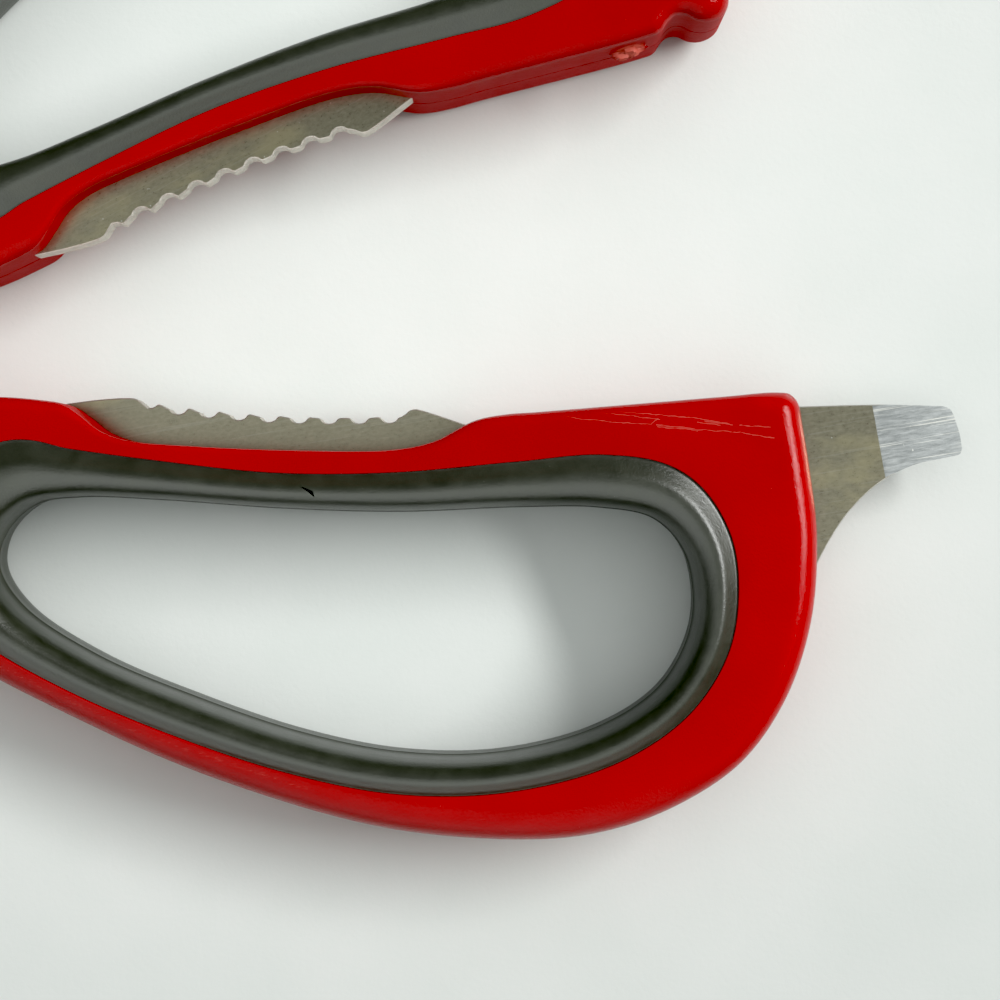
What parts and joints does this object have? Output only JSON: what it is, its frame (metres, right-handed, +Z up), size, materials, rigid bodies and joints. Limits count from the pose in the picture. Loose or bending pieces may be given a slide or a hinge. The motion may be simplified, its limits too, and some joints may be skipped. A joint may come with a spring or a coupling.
{
  "type": "take-apart kitchen and poultry shears",
  "caption": "Long crossed steel shears with two-tone loop handles, toothed jar grip, lid-lifting lip, flat driver tip and a lug-headed take-apart pivot.",
  "frame": {"origin": "on the pivot axis, at the centre of the flat underside of the pivot stud's foot", "axes": "+X from the pivot along the handles, -X along the blades, +Z up out of the upper handle face along the pivot axis, +Y from the handle with the driver tip towards the other handle"},
  "size_m": [0.2303, 0.1153, 0.0136],
  "materials": {
    "blade_steel": "satin ground stainless steel with a warm grey cast",
    "stud_steel": "fine turned stainless steel",
    "red_plastic": "smooth glossy red",
    "soft_grip": "satin grey-green soft grip"
  },
  "bodies": {
    "half_a": {"blade_a": "blade_steel", "front_shell_a": "red_plastic", "back_shell_a": "red_plastic", "grip_liner_a": "soft_grip", "pivot_stud": "stud_steel", "stud_washer": "stud_steel"},
    "half_b": {"blade_b": "blade_steel", "front_shell_b": "red_plastic", "back_shell_b": "red_plastic", "grip_liner_b": "soft_grip"}
  },
  "joints": [
    {"name": "pivot_hinge", "type": "hinge", "parent": "half_a", "child": "half_b", "pos_m": [0, 0, 0], "axis": [0, 0, 1], "range_deg": [-19, 76]}
  ]
}
